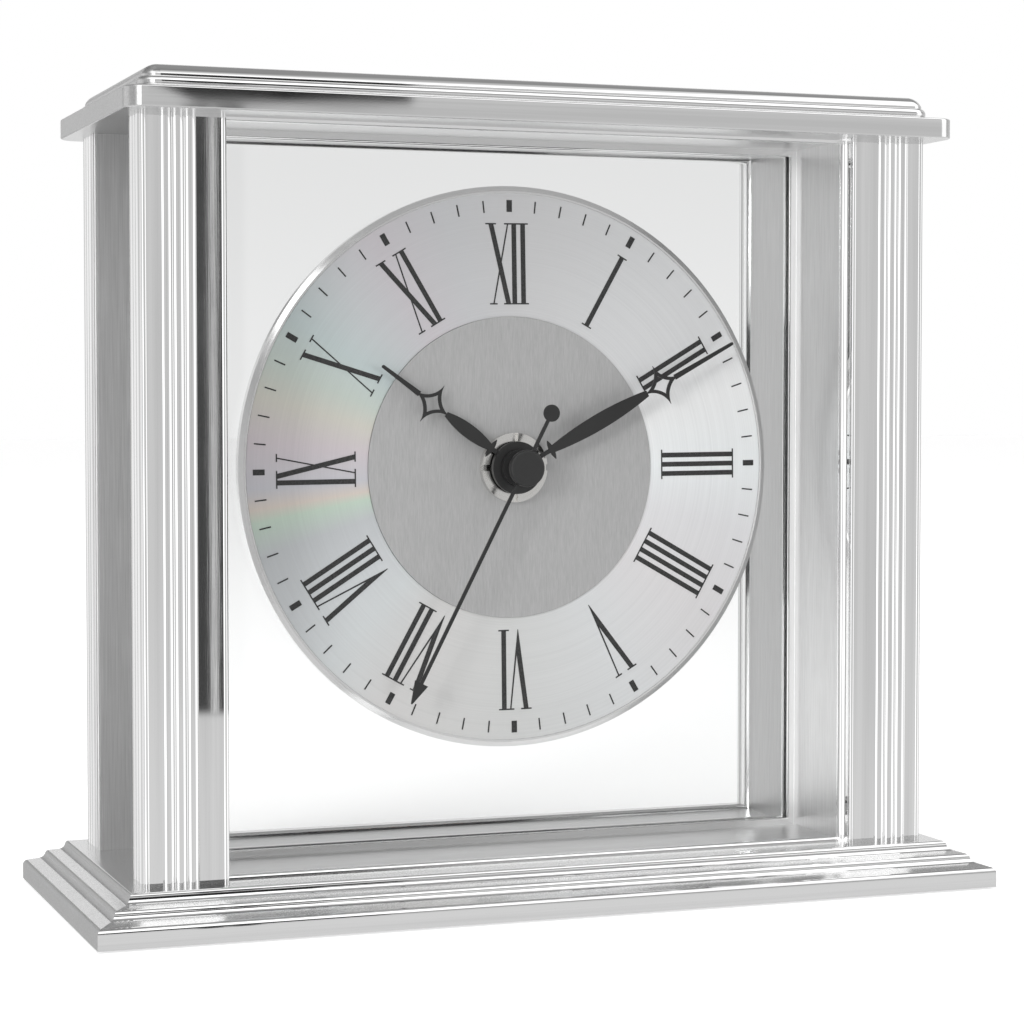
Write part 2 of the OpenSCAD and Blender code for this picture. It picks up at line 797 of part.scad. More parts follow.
// Tray for the battery below, room for the train above, and the threaded bush in front
module movement_case() {
    color("black") face_on() difference() {
        union() {
            difference() {
                slice(case_back, case_front) round_rect(half_w, half_w, 1.5);
                slice(case_back - cut, case_floor)
                    area([-room_in, divider_top], [room_in, half_w - movement_wall - ledge]);
                slice(case_back - cut, cover_level[0])
                    area([-room_x, divider_top], [room_x, half_w - movement_wall]);
                slice(case_back - cut, case_floor + 0.4)
                    area([-room_x, -half_w + movement_wall], [room_x, divider_top - movement_wall]);
                for (s = [-1, 1]) slice(board_level[1] - 0.2, strip_front + 0.2) intersection() {
                    strip_area(s, 0.1);
                    area([-half_w, divider_top - 2 * movement_wall], [half_w, divider_top + 1]);
                }
            }
            disc(bush_r, case_floor, bush_top);
            at_posts() disc(post_r, plate_level[0], case_floor);
        }
        disc(hour_pipe_r + run, case_back, bush_top + cut);
        at_thin_arbors() disc(pin_r + run, case_floor - cut, case_floor + 0.5);
        translate(motion_at) disc(motion_pin_r + run, case_floor - cut, case_floor + 0.5);
    }
}

// Plate that closes the train, with a hole for the setting knob
module movement_cover() {
    color("black") face_on() slice(cover_level[0], cover_level[1]) difference() {
        area([snug - room_x, divider_top + snug], [room_x - snug, half_w - movement_wall - snug]);
        translate(motion_at) circle(knob_shaft_r + run);
    }
}

// Plate that holds the rear pivots of the train
module train_plate() {
    color("white") face_on() slice(plate_level[0], plate_level[1]) difference() {
        area([snug - room_in, train_bottom], [room_in - snug, half_w - movement_wall - ledge - snug]);
        circle(arbor_r + run);
        at_thin_arbors() circle(pin_r + run);
        translate(motion_at) circle(motion_pin_r + run);
        area([coil_x[0] + 1.2, coil_y - coil_r - 0.6], [coil_x[1] - 1.2, coil_y + coil_r + 0.6]);
        for (s = [-1, 1]) strip_area(s, 1);
    }
}

// Board between the two terminal strips
module circuit_board() {
    color("green") face_on() slice(board_level[0], board_level[1])
        area([-contact_x, train_bottom + 0.4], [contact_x, train_bottom + 6.4]);
}

// Sealed chip on the board
module control_chip() {
    dome = 0.8;
    color("black") face_on() translate([-14, train_bottom + 3.4, board_level[1]]) rotate_extrude()
        intersection() {
            union() {
                translate([0, -dome]) square([1.4, dome]);
                translate([1.4, 0]) circle(dome);
            }
            translate([0, -dome]) square([1.4 + dome, dome]);
        }
}

// Tuning crystal in its can
module quartz_crystal() {
    color("silver") face_on() translate([2, train_bottom + 3.4, board_level[1] - 0.6]) rotate([0, 90, 0])
        cylinder(r = 0.6, h = 5);
}

// Bobbin around the core of the coil
module coil_bobbin() {
    barrel_r = core_half + 0.35;
    x0 = coil_x[0] + 1.8;
    x1 = coil_x[1] - 1.8;
    color("white") face_on() translate([0, coil_y, coil_level]) difference() {
        union() {
            translate([x0, 0, 0]) rotate([0, 90, 0]) cylinder(r = barrel_r, h = x1 - x0);
            for (x = [x0, x1 - 0.5]) translate([x, 0, 0]) rotate([0, 90, 0]) cylinder(r = coil_r + 0.3, h = 0.5);
        }
        translate([x0 - cut, -core_half - 0.02, -0.37]) cube([x1 - x0 + 2 * cut, 2 * core_half + 0.04, 0.74]);
    }
}

// Copper winding on the bobbin
module coil_winding() {
    x0 = coil_x[0] + 2.3;
    length = coil_x[1] - coil_x[0] - 4.6;
    color("chocolate") face_on() translate([x0, coil_y, coil_level]) rotate([0, 90, 0]) difference() {
        cylinder(r = coil_r, h = length);
        translate([0, 0, -cut]) cylinder(r = core_half + 0.35, h = length + 2 * cut);
    }
}

// Iron bar through the coil
module coil_core() {
    color("gray") face_on() slice(stator_level[0], stator_level[0] + 0.7)
        area([coil_x[0] - 1.5, coil_y - core_half], [coil_x[1] + 1.5, coil_y + core_half]);
}

// Iron plate around the rotor, with an arm to each end of the coil
module stator() {
    color("gray") face_on() slice(stator_level[0], stator_level[1]) difference() {
        union() {
            for (x = coil_x) area([x - 1.5, rotor_at[1] - 3.9], [x + 1.5, coil_y + 1.6]);
            area([coil_x[0] - 1.5, rotor_at[1] - 3.9], [coil_x[1] + 1.5, rotor_at[1] + 3.9]);
        }
        translate(rotor_at) circle(magnet_r + 0.5);
    }
}

// Toothed wheel or pinion at a level, with a tooth at the angle given
module toothed(teeth, m, at, level, spare = 0, hole = 0) {
    slice(level[1] - spare, level[0] + spare) difference() {
        polygon(gear_points(teeth, m, at));
        if (hole > 0) circle(hole);
    }
}

// Arbor with thin pivots, from the floor of the case to the train plate
module thin_arbor() {
    disc(pin_r, plate_level[1] + 0.1, case_floor + 0.4);
}

module rotor() {
    color("dimgray") face_on() translate(rotor_at) {
        thin_arbor();
        disc(magnet_r, stator_level[1] - 0.4, stator_level[0] + 0.3);
        toothed(gear_rotor[0], gear_rotor[2], rotor_dir + 180 + 180 / gear_rotor[0], intermediate_level, 0.15);
    }
}

module intermediate_wheel() {
    color("ivory") face_on() translate(intermediate_at) {
        thin_arbor();
        toothed(gear_rotor[1], gear_rotor[2], rotor_dir, intermediate_level);
        toothed(gear_second[0], gear_second[2], intermediate_dir + 180 + 180 / gear_second[0], second_level, 0.15);
    }
}

module second_wheel() {
    color("ivory") face_on() {
        disc(arbor_r, plate_level[1] + 0.1, second_boss_back + second_boss_t - 0.1);
        toothed(gear_second[1], gear_second[2], intermediate_dir, second_level);
        toothed(gear_third[0], gear_third[2], third_dir + 180 / gear_third[0], third_level, 0.15);
    }
}

module third_wheel() {
    color("ivory") face_on() translate(third_at) {
        thin_arbor();
        toothed(gear_third[1], gear_third[2], third_dir + 180, third_level);
        toothed(gear_centre[0], gear_centre[2], third_dir + 180 + 180 / gear_centre[0], centre_level, 0.15);
    }
}

// Wheel that drives the minute pipe through a friction fit
module centre_wheel() {
    color("ivory") face_on()
        toothed(gear_centre[1], gear_centre[2], third_dir, centre_level, 0, tail_r + run);
}

// Pipe of the minute hand, with its pinion and the tail that carries the centre wheel
module minute_pipe() {
    color("ivory") face_on() difference() {
        union() {
            disc(minute_pipe_r, motion_level[0], minute_boss_back + minute_boss_t - 0.1);
            toothed(gear_minute[0], gear_minute[2], motion_dir + 180 / gear_minute[0], motion_level, 0.15);
            disc(tail_r, centre_level[1] - 0.2, motion_level[1]);
        }
        disc(arbor_r + run, case_back, minute_boss_back + minute_boss_t);
    }
}

// Wheel and pinion that turn the minutes into hours
module motion_wheel() {
    color("ivory") face_on() translate(motion_at) {
        disc(motion_pin_r, plate_level[1] - 1.8, case_floor + 0.4);
        toothed(gear_minute[1], gear_minute[2], motion_dir + 180, motion_level);
        toothed(gear_hour[0], gear_hour[2], motion_dir + 180 + 180 / gear_hour[0], hour_level, 0.1);
    }
}

// Wheel and pipe of the hour hand
module hour_wheel() {
    color("ivory") face_on() difference() {
        union() {
            disc(hour_pipe_r, hour_level[1], hour_boss_back + hour_boss_t - 0.1);
            toothed(gear_hour[1], gear_hour[2], motion_dir, hour_level);
        }
        disc(minute_pipe_r + run, case_back, minute_boss_back);
    }
}

// Fluted knob that sets the hands, on the motion wheel's arbor
module setting_knob() {
    knob_r = 4.5;
    front = plate_level[1] - 0.2;
    face_z = case_back - 0.4;
    color("black") face_on() translate(motion_at) difference() {
        union() {
            disc(knob_shaft_r, face_z, front);
            slice(face_z - 3, face_z) difference() {
                circle(knob_r);
                for (a = [0:20:340]) rotate(a) translate([knob_r + 0.2, 0]) circle(0.45);
            }
        }
        disc(motion_pin_r + 0.02, plate_level[1] - 2, front + cut);
    }
}

// Battery in the tray, with its button to the right
module battery() {
    color("darkorange") face_on() translate([-battery_l / 2 + 0.3, battery_y, battery_level])
        rotate([0, 90, 0]) cylinder(r = battery_r, h = battery_l - 1.6);
}

// Button and base of the battery
module battery_terminals() {
    color("silver") face_on() translate([0, battery_y, battery_level]) rotate([0, 90, 0]) {
        translate([0, 0, battery_l / 2 - 1.3]) cylinder(r = 2.75, h = 1.3);
        translate([0, 0, -battery_l / 2]) cylinder(r = 6.2, h = 0.3);
    }
}

// Strip from one end of the battery up to the board
module contact(side) {
    color("silver") face_on() slice(board_level[1], strip_front) strip_area(side);
}

module contact_positive() {
    contact(1);
}

module contact_negative() {
    contact(-1);
}

base_plinth();
base_felt();
base_screws();
column_front_left();
column_front_right();
column_rear_left();
column_rear_right();
cornice();
cornice_screws();
top_cap();
cap_screws();
rail_top();
rail_bottom();
rail_left();
rail_right();
glass_pane();
dial_plate();
chapter_ring();
centre_disc();
dial_numerals();
minute_marks();
dial_washer();
rubber_washer();
dial_nut();
hour_hand();
minute_hand();
second_hand();
second_cap();
movement_case();
movement_cover();
train_plate();
circuit_board();
control_chip();
quartz_crystal();
coil_bobbin();
coil_winding();
coil_core();
stator();
rotor();
intermediate_wheel();
second_wheel();
third_wheel();
centre_wheel();
minute_pipe();
motion_wheel();
hour_wheel();
setting_knob();
battery();
battery_terminals();
contact_positive();
contact_negative();
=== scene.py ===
import math

import bpy
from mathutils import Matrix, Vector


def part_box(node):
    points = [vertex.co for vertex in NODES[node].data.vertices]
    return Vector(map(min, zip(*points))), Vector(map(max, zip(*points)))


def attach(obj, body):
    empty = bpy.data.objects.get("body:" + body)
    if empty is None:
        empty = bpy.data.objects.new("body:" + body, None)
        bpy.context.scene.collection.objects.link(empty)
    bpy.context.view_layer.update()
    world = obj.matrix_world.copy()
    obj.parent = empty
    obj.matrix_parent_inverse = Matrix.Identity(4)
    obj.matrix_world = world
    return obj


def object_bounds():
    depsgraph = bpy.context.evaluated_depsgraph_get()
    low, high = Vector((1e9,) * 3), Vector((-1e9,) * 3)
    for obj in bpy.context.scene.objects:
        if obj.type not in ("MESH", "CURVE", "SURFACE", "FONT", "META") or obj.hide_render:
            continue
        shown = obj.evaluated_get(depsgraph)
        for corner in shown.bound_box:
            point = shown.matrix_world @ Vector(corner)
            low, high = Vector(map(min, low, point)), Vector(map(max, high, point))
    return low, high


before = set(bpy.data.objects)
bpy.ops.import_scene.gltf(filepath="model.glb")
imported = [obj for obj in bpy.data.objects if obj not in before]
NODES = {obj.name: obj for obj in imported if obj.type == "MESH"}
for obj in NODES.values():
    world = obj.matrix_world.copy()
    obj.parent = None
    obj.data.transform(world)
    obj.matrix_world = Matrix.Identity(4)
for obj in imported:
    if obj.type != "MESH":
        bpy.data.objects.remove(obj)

cad_low, cad_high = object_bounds()
MM = 0.001

# A quarter of a turn
QUARTER = 0.25

# Sockets of a Mix node that mixes colours
MIX_SHARE, MIX_FIRST, MIX_SECOND, MIX_RESULT = 0, 6, 7, 2


# ---------------------------------------------------------------- node helpers

def plug(tree, socket, value):
    """Links a value that comes from a node to a socket, or sets a plain one."""
    if isinstance(value, bpy.types.NodeSocket):
        tree.links.new(value, socket)
    else:
        socket.default_value = value


def add(tree, kind, inputs=None, **settings):
    """Adds a node, sets its properties, and fills or links its inputs."""
    made = tree.nodes.new(kind)
    for key, value in settings.items():
        setattr(made, key, value)
    for key, value in (inputs or {}).items():
        plug(tree, made.inputs[key], value)
    return made


def maths(tree, operation, a, b=0.0):
    """Output of a Math node."""
    return add(tree, "ShaderNodeMath", {0: a, 1: b}, operation=operation).outputs[0]


def remap(tree, value, low, high, to_low=0.0, to_high=1.0, smooth=False):
    """Value carried from one range to another, clamped."""
    ranges = {"Value": value, "From Min": low, "From Max": high, "To Min": to_low, "To Max": to_high}
    course = "SMOOTHSTEP" if smooth else "LINEAR"
    made = add(tree, "ShaderNodeMapRange", ranges, clamp=True, interpolation_type=course)
    return made.outputs["Result"]


def blend(tree, share, first, second):
    """Colour that goes from first to second with share."""
    sockets = {MIX_SHARE: share, MIX_FIRST: first, MIX_SECOND: second}
    return add(tree, "ShaderNodeMix", sockets, data_type="RGBA").outputs[MIX_RESULT]


def grey(level):
    """Plain grey."""
    return (level, level, level, 1.0)


def tone(tree, level):
    """Grey whose level changes over the surface."""
    return add(tree, "ShaderNodeCombineColor", {0: level, 1: level, 2: level}).outputs[0]


def split(tree, vector):
    """The three parts of a vector."""
    return add(tree, "ShaderNodeSeparateXYZ", {0: vector}).outputs


def join(tree, x, y, z=0.0):
    """Vector of three parts."""
    return add(tree, "ShaderNodeCombineXYZ", {0: x, 1: y, 2: z}).outputs[0]


def stretched(tree, vector, scale, turn):
    """Vector turned, and scaled by axis."""
    made = add(tree, "ShaderNodeMapping", {"Vector": vector, "Rotation": turn, "Scale": scale})
    return made.outputs["Vector"]


def noise(tree, vector, scale, detail=3.0, roughness=0.5):
    """Cloudy value from 0 to 1."""
    made = add(tree, "ShaderNodeTexNoise",
               {"Vector": vector, "Scale": scale, "Detail": detail, "Roughness": roughness})
    return made.outputs["Fac"]


# ---------------------------------------------------------------- shared effects

# Scale of the broad streaks of drawn metal, as a share of the scale of its fine lines
BROAD_STREAK = 0.16


def new_group(name, inputs, outputs):
    """Empty shader group with its sockets. An input is (name, kind, default)."""
    group = bpy.data.node_groups.new(name, "ShaderNodeTree")
    for label, kind, default in inputs:
        socket = group.interface.new_socket(label, in_out="INPUT", socket_type=kind)
        if default is not None:
            socket.default_value = default
    for label in outputs:
        group.interface.new_socket(label, in_out="OUTPUT", socket_type="NodeSocketFloat")
    return group, group.nodes.new("NodeGroupInput"), group.nodes.new("NodeGroupOutput")


def make_drawn_lines():
    """Lines of brushed or drawn metal that run along Z: fine ones and broad streaks."""
    group, given, result = new_group(
        "drawn_lines",
        [("Vector", "NodeSocketVector", None), ("Across", "NodeSocketFloat", 3000.0),
         ("Along", "NodeSocketFloat", 20.0)],
        ["Fine", "Broad"])
    x, y, z = split(group, given.outputs["Vector"])
    wide = maths(group, "MULTIPLY", x, given.outputs["Across"])
    deep = maths(group, "MULTIPLY", y, given.outputs["Across"])
    long = maths(group, "MULTIPLY", z, given.outputs["Along"])
    squeezed = join(group, wide, deep, long)
    group.links.new(noise(group, squeezed, 1.0, 2.0, 0.7), result.inputs["Fine"])
    group.links.new(noise(group, squeezed, BROAD_STREAK, 3.0, 0.6), result.inputs["Broad"])
    return group


def make_speckle():
    """Grain of a blasted or cast face."""
    group, given, result = new_group(
        "speckle", [("Vector", "NodeSocketVector", None), ("Scale", "NodeSocketFloat", 4000.0)], ["Grain"])
    grain = noise(group, given.outputs["Vector"], given.outputs["Scale"], 2.0, 0.7)
    group.links.new(grain, result.inputs["Grain"])
    return group


def make_handling():
    """Soft smears that handling leaves."""
    group, given, result = new_group("handling", [("Vector", "NodeSocketVector", None)], ["Smears"])
    group.links.new(noise(group, given.outputs["Vector"], 45.0, 4.0, 0.6), result.inputs["Smears"])
    return group


LINES = make_drawn_lines()
SPECKLE = make_speckle()
HANDLING = make_handling()


def use(tree, group, **inputs):
    """Places a shared effect and returns its outputs."""
    return add(tree, "ShaderNodeGroup", inputs, node_tree=group).outputs


class Finish:
    """A Principled material under construction."""

    def __init__(self, name, **values):
        self.material = bpy.data.materials.new(name)
        self.material.use_nodes = True
        self.tree = self.material.node_tree
        self.shader = self.tree.nodes["Principled BSDF"]
        for key, value in values.items():
            self.shader.inputs[key.replace("_", " ")].default_value = value
        places = add(self.tree, "ShaderNodeTexCoord")
        self.place = places.outputs["Object"]
        self.facing = places.outputs["Normal"]

    def feed(self, name, value):
        """Links a value to one of the shader's sockets."""
        self.tree.links.new(value, self.shader.inputs[name])

    def bump(self, height, distance):
        """Relief of a height, distance metres deep."""
        made = add(self.tree, "ShaderNodeBump", {"Height": height, "Distance": distance, "Strength": 1.0})
        self.feed("Normal", made.outputs["Normal"])

    def streak(self, amount, round_axis=None, across=None):
        """Reflections drawn out across the lines of the metal: round an axis, or straight."""
        self.shader.inputs["Anisotropic"].default_value = amount
        if round_axis:
            made = add(self.tree, "ShaderNodeTangent", direction_type="RADIAL", axis=round_axis)
            self.shader.inputs["Anisotropic Rotation"].default_value = QUARTER
            self.feed("Tangent", made.outputs[0])
        else:
            self.feed("Tangent", join(self.tree, *across))

    def side_share(self, axis, low, high):
        """1 where the surface faces along an axis, 0 elsewhere."""
        part = maths(self.tree, "ABSOLUTE", split(self.tree, self.facing)[axis])
        return remap(self.tree, part, low, high)


# ---------------------------------------------------------------- finishes of the case

# Mouldings, as [roughness of the front, roughness and brightness of the ends, then the same two of the top];
# the darker ends are painted shade and the lighter top is painted light
MOULDINGS = {
    "plinth_metal": [0.03, 0.32, 0.50, 0.24, 0.86],
    "cornice_metal": [0.02, 0.30, 0.60, 0.28, 0.72],
    "cap_metal": [0.03, 0.28, 0.62, 0.28, 0.75],
}


def moulding(name, front_rough, end_rough, end_shade_level, top_rough, top_light_level):
    """Bright front and back with fine lines along them; the ends and the top are satin with a grain, the ends
    darkened by painted shade and the top lightened by painted light.
    """
    f = Finish(name, Metallic=1.0)
    t = f.tree
    speckle = use(t, SPECKLE, Vector=f.place, Scale=3500.0)
    handling = use(t, HANDLING, Vector=f.place)
    x, y, z = split(t, f.place)
    lines = use(t, LINES, Vector=join(t, y, z, x), Across=2600.0, Along=26.0)
    ends = f.side_share(0, 0.3, 0.6)
    tops = f.side_share(2, 0.9, 0.97)
    rough = remap(t, handling["Smears"], 0.35, 0.7, front_rough, front_rough + 0.02)
    rough = maths(t, "ADD", rough, maths(t, "MULTIPLY", ends, end_rough - front_rough))
    rough = maths(t, "ADD", rough, maths(t, "MULTIPLY", tops, top_rough - front_rough))
    f.feed("Roughness", rough)
    satin = maths(t, "MAXIMUM", ends, tops)
    # Painted shade and painted light: the satin ends get a darker base colour than the top, and the grain
    # rides on these levels.
    satin_painted_level = remap(t, tops, 0.0, 1.0, end_shade_level, top_light_level)
    grain = maths(t, "MULTIPLY", satin_painted_level, remap(t, speckle["Grain"], 0.3, 0.7, 0.84, 1.12))
    drawn = remap(t, lines["Broad"], 0.36, 0.60, 0.80, 0.95)
    level = add(t, "ShaderNodeMix", {0: satin, 2: drawn, 3: grain}, data_type="FLOAT").outputs[0]
    f.feed("Base Color", tone(t, level))
    f.bump(maths(t, "MULTIPLY", speckle["Grain"], remap(t, satin, 0.0, 1.0, 0.02, 1.0)), 0.006 * MM)
    return f.material


def column_metal():
    """Bright drawn section with fine vertical lines; the faces turned to the inside of the case are matt."""
    f = Finish("column_metal", Metallic=1.0)
    t = f.tree
    lines = use(t, LINES, Vector=f.place, Across=3600.0, Along=60.0)
    handling = use(t, HANDLING, Vector=f.place)
    to_middle = maths(t, "MULTIPLY", maths(t, "SIGN", split(t, f.place)[1]), -1.0)
    inwards = maths(t, "MULTIPLY", split(t, f.facing)[1], to_middle)
    matt = remap(t, inwards, 0.5, 0.7)
    rough = remap(t, handling["Smears"], 0.35, 0.7, 0.015, 0.03)
    f.feed("Roughness", maths(t, "ADD", rough, maths(t, "MULTIPLY", matt, 0.36)))
    streaked = tone(t, remap(t, lines["Fine"], 0.3, 0.7, 0.74, 0.92))
    drawn = tone(t, remap(t, lines["Broad"], 0.35, 0.62, 0.84, 0.95))
    f.feed("Base Color", blend(t, matt, drawn, streaked))
    f.bump(maths(t, "MULTIPLY", lines["Fine"], remap(t, matt, 0.0, 1.0, 0.02, 1.0)), 0.01 * MM)
    return f.material


# Where the beads of a rail end, from the middle of its depth; each fades over a tenth of a millimetre
FRONT_BEAD = (-19.9 * MM, -19.8 * MM)
MIDDLE_BEADS = (2.1 * MM, 2.2 * MM)
REAR_BEAD = (18.3 * MM, 18.4 * MM)


def rail_metal():
    """Flats brushed along the rail between polished beads."""
    f = Finish("rail_metal", Metallic=1.0)
    t = f.tree
    x, y, z = split(t, f.place)
    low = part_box("rail_right")[0]
    upright = maths(t, "GREATER_THAN", maths(t, "ABSOLUTE", x), low.x - 1 * MM)
    along = blend(t, upright, join(t, z, y, x), f.place)
    lines = use(t, LINES, Vector=along, Across=3400.0, Along=120.0)
    front = remap(t, y, *FRONT_BEAD, 1.0, 0.0)
    middle = remap(t, maths(t, "ABSOLUTE", y), *MIDDLE_BEADS, 1.0, 0.0)
    inner_beads = maths(t, "MAXIMUM", middle, remap(t, y, *REAR_BEAD))
    bead = maths(t, "MAXIMUM", front, inner_beads)
    rough = remap(t, lines["Broad"], 0.3, 0.7, 0.30, 0.36)
    polish = maths(t, "SUBTRACT", 0.27, maths(t, "MULTIPLY", inner_beads, 0.11))
    f.feed("Roughness", maths(t, "SUBTRACT", rough, maths(t, "MULTIPLY", bead, polish)))
    brushed = tone(t, remap(t, lines["Fine"], 0.25, 0.75, 0.65, 0.76))
    f.feed("Base Color", blend(t, bead, brushed, grey(0.93)))
    f.bump(maths(t, "MULTIPLY", lines["Fine"], remap(t, bead, 0.0, 1.0, 1.0, 0.02)), 0.005 * MM)
    return f.material


def glass():
    """Clear sheet with a faint green body; lamps shine through it."""
    f = Finish("glass", IOR=1.5, Transmission_Weight=1.0, Metallic=0.0)
    t = f.tree
    handling = use(t, HANDLING, Vector=f.place)
    f.feed("Roughness", remap(t, handling["Smears"], 0.5, 0.8, 0.0, 0.03))
    f.shader.inputs["Base Color"].default_value = (0.955, 0.960, 0.959, 1.0)
    clear = add(t, "ShaderNodeBsdfTransparent", {"Color": (0.955, 0.965, 0.962, 1.0)})
    path = add(t, "ShaderNodeLightPath")
    lamplight = maths(t, "MAXIMUM", path.outputs["Is Shadow Ray"], path.outputs["Is Diffuse Ray"])
    mixed = add(t, "ShaderNodeMixShader", {0: lamplight, 1: f.shader.outputs[0], 2: clear.outputs[0]})
    t.links.new(mixed.outputs[0], t.nodes["Material Output"].inputs["Surface"])
    return f.material


# ---------------------------------------------------------------- finishes of the dial

def dial_centre():
    """Middle of the ring that carries the numerals."""
    low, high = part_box("chapter_ring")
    return (low + high) / 2


def about_dial(f):
    """Distance from the axis of the dial, and clock angle in turns."""
    centre = dial_centre()
    placed = {"Vector": f.place, "Location": (-centre.x, -centre.y, -centre.z)}
    x, _, z = split(f.tree, add(f.tree, "ShaderNodeMapping", placed).outputs[0])
    flat = join(f.tree, x, 0.0, z)
    distance = add(f.tree, "ShaderNodeVectorMath", {0: flat}, operation="LENGTH").outputs["Value"]
    return distance, maths(f.tree, "DIVIDE", maths(f.tree, "ARCTAN2", x, z), 2 * math.pi)


def turning_marks(t, distance, angle, fine, long, roughness=0.5):
    """Fine circles of a turned face: fine sets how close they lie, long how often they change on the way."""
    across = maths(t, "MULTIPLY", distance, fine)
    return noise(t, join(t, across, maths(t, "MULTIPLY", angle, long)), 1.0, 2.0, roughness)


# Painted light of the spun ring round the dial: a painted glare round three o'clock, painted shade round half
# past eight and a painted rainbow sheen round the left, as [hour, red, green, blue]
RING_PAINTED_LIGHT = [
    [6.0, 0.52, 0.53, 0.52], [7.0, 0.53, 0.52, 0.51], [7.5, 0.50, 0.54, 0.55], [8.0, 0.42, 0.45, 0.47],
    [8.4, 0.33, 0.36, 0.38], [8.62, 0.33, 0.50, 0.36], [8.72, 0.52, 0.42, 0.34], [8.85, 0.37, 0.37, 0.42],
    [9.2, 0.46, 0.38, 0.42], [9.5, 0.47, 0.45, 0.36], [9.75, 0.37, 0.46, 0.39], [10.1, 0.34, 0.45, 0.45],
    [10.5, 0.40, 0.43, 0.45], [10.9, 0.44, 0.40, 0.44], [11.5, 0.44, 0.45, 0.47], [12.0, 0.47, 0.47, 0.48],
    [13.0, 0.54, 0.55, 0.56], [13.9, 0.60, 0.61, 0.62], [14.4, 0.84, 0.85, 0.85], [15.0, 0.80, 0.84, 0.85],
    [15.5, 0.68, 0.68, 0.70], [16.2, 0.64, 0.62, 0.63], [17.0, 0.60, 0.62, 0.63],
]
HOURS = 12


def ring_foil():
    """Spun foil: fine circles, and a faint painted rainbow sheen round the left of the dial; its colour also
    holds a painted glare round three o'clock and painted shade round half past eight.
    """
    f = Finish("ring_foil", Metallic=0.4, Roughness=0.34)
    t = f.tree
    distance, angle = about_dial(f)
    spun = turning_marks(t, distance, angle, 3600.0, 1.5, 0.7)
    # The colour round the ring is painted light: painted glare, painted shade and a painted rainbow sheen,
    # set by clock angle.
    painted_light_ramp = add(t, "ShaderNodeValToRGB", {0: remap(t, angle, -0.5, 0.5)})
    ramp = painted_light_ramp.color_ramp
    for hour, red, green, blue in RING_PAINTED_LIGHT:
        ramp.elements.new(max(0.001, hour / HOURS - 0.5)).color = (red, green, blue, 1.0)
    for end in (ramp.elements[0], ramp.elements[-1]):
        end.color = (*RING_PAINTED_LIGHT[0][1:], 1.0)
    pale = blend(t, 0.3, painted_light_ramp.outputs[0], grey(0.95))
    f.feed("Base Color", blend(t, remap(t, spun, 0.25, 0.75, 0.0, 0.14), pale, grey(0.3)))
    f.bump(spun, 0.006 * MM)
    f.streak(0.8, round_axis="Y")
    return f.material


def disc_foil():
    """Foil brushed straight up and down."""
    f = Finish("disc_foil", Metallic=0.45, Roughness=0.5)
    t = f.tree
    lines = use(t, LINES, Vector=f.place, Across=5600.0, Along=420.0)
    level = remap(t, lines["Fine"], 0.25, 0.75, 0.37, 0.46)
    level = maths(t, "MULTIPLY", level, remap(t, lines["Broad"], 0.3, 0.7, 0.98, 1.02))
    f.feed("Base Color", tone(t, level))
    f.bump(lines["Fine"], 0.003 * MM)
    f.streak(0.5, across=(1.0, 0.0, 0.0))
    return f.material


def dial_metal():
    """Turned rim of the dial."""
    f = Finish("dial_metal", Metallic=1.0)
    t = f.tree
    marks = turning_marks(t, *about_dial(f), 4000.0, 1.0)
    f.feed("Base Color", blend(t, remap(t, marks, 0.3, 0.7), grey(0.82), grey(0.92)))
    f.feed("Roughness", remap(t, marks, 0.3, 0.7, 0.12, 0.22))
    f.bump(marks, 0.004 * MM)
    return f.material


def ink():
    """Printed black, very slightly broken."""
    f = Finish("ink")
    t = f.tree
    breaks = noise(t, f.place, 5000.0, 2.0)
    f.feed("Base Color", blend(t, remap(t, breaks, 0.35, 0.75), grey(0.012), grey(0.045)))
    f.feed("Roughness", remap(t, breaks, 0.3, 0.7, 0.38, 0.55))
    f.bump(breaks, 0.004 * MM)
    return f.material


def nut_plate():
    """Bright nickel with turning marks."""
    f = Finish("nut_plate", Metallic=1.0)
    t = f.tree
    marks = turning_marks(t, *about_dial(f), 5000.0, 3.0)
    f.feed("Base Color", blend(t, marks, (0.70, 0.69, 0.67, 1.0), (0.88, 0.87, 0.85, 1.0)))
    f.feed("Roughness", remap(t, marks, 0.3, 0.7, 0.10, 0.24))
    f.bump(marks, 0.006 * MM)
    return f.material


def hand_black():
    """Satin black paint over stamped metal."""
    f = Finish("hand_black")
    t = f.tree
    peel = noise(t, f.place, 2500.0, 2.0)
    handling = use(t, HANDLING, Vector=f.place)
    f.feed("Base Color", blend(t, remap(t, handling["Smears"], 0.3, 0.8), grey(0.011), grey(0.022)))
    f.feed("Roughness", remap(t, peel, 0.3, 0.7, 0.36, 0.48))
    f.bump(peel, 0.004 * MM)
    return f.material


# ---------------------------------------------------------------- finishes inside and behind

def mottled(name, dark, light, scale, depth, rough, metallic):
    """Two close colours mixed by a grain, with a matching relief, depth millimetres deep."""
    f = Finish(name, Metallic=metallic)
    t = f.tree
    grain = noise(t, f.place, scale, 3.0, 0.6)
    f.feed("Base Color", blend(t, remap(t, grain, 0.3, 0.7), (*dark, 1.0), (*light, 1.0)))
    f.feed("Roughness", remap(t, grain, 0.3, 0.7, *rough))
    f.bump(grain, depth * MM)
    return f.material


